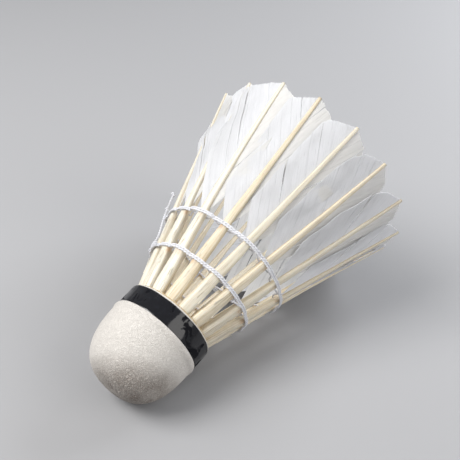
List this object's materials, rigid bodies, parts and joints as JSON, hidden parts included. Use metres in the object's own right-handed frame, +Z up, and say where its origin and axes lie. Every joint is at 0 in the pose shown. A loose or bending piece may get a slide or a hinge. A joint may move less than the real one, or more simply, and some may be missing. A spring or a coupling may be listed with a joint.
{
  "type": "badminton shuttlecock",
  "caption": "Feather shuttlecock lying on its side: skinned cork head with black rim tape, tied ring of overlapping goose feathers.",
  "frame": {"origin": "middle of the rim tape on the shuttle's axis", "axes": "+Z up with the shuttle lying at rest on its nose and lowest feathers; +X level, under the heading of the feathers; the shuttle's axis rises 15.58 degrees from +X towards the feathers"},
  "size_m": [0.093, 0.0658, 0.0642],
  "materials": {
    "cork_composite": "granulated cork, coarse grains",
    "cork_natural": "natural cork, fine pores",
    "skin": "matt ivory skin with fine pores, lightly scuffed",
    "tape": "glossy black film",
    "glue": "clear hardened glue, slightly yellow",
    "thread": "white twisted thread under a thin lacquer",
    "quill": "cream horn, satin",
    "vane": "white feather barbs, soft sheen, slightly translucent"
  },
  "bodies": {
    "root": {"cork_nose": "cork_composite", "cork_disc": "cork_natural", "leather_skin": "skin", "rim_tape": "tape", "root_glue": "glue", "lower_thread": "thread", "upper_thread": "thread", "shaft_01": "quill", "shaft_02": "quill", "shaft_03": "quill", "shaft_04": "quill", "shaft_05": "quill", "shaft_06": "quill", "shaft_07": "quill", "shaft_08": "quill", "shaft_09": "quill", "shaft_10": "quill", "shaft_11": "quill", "shaft_12": "quill", "shaft_13": "quill", "shaft_14": "quill", "shaft_15": "quill", "shaft_16": "quill", "vane_01": "vane", "vane_02": "vane", "vane_03": "vane", "vane_04": "vane", "vane_05": "vane", "vane_06": "vane", "vane_07": "vane", "vane_08": "vane", "vane_09": "vane", "vane_10": "vane", "vane_11": "vane", "vane_12": "vane", "vane_13": "vane", "vane_14": "vane", "vane_15": "vane", "vane_16": "vane"}
  },
  "joints": []
}
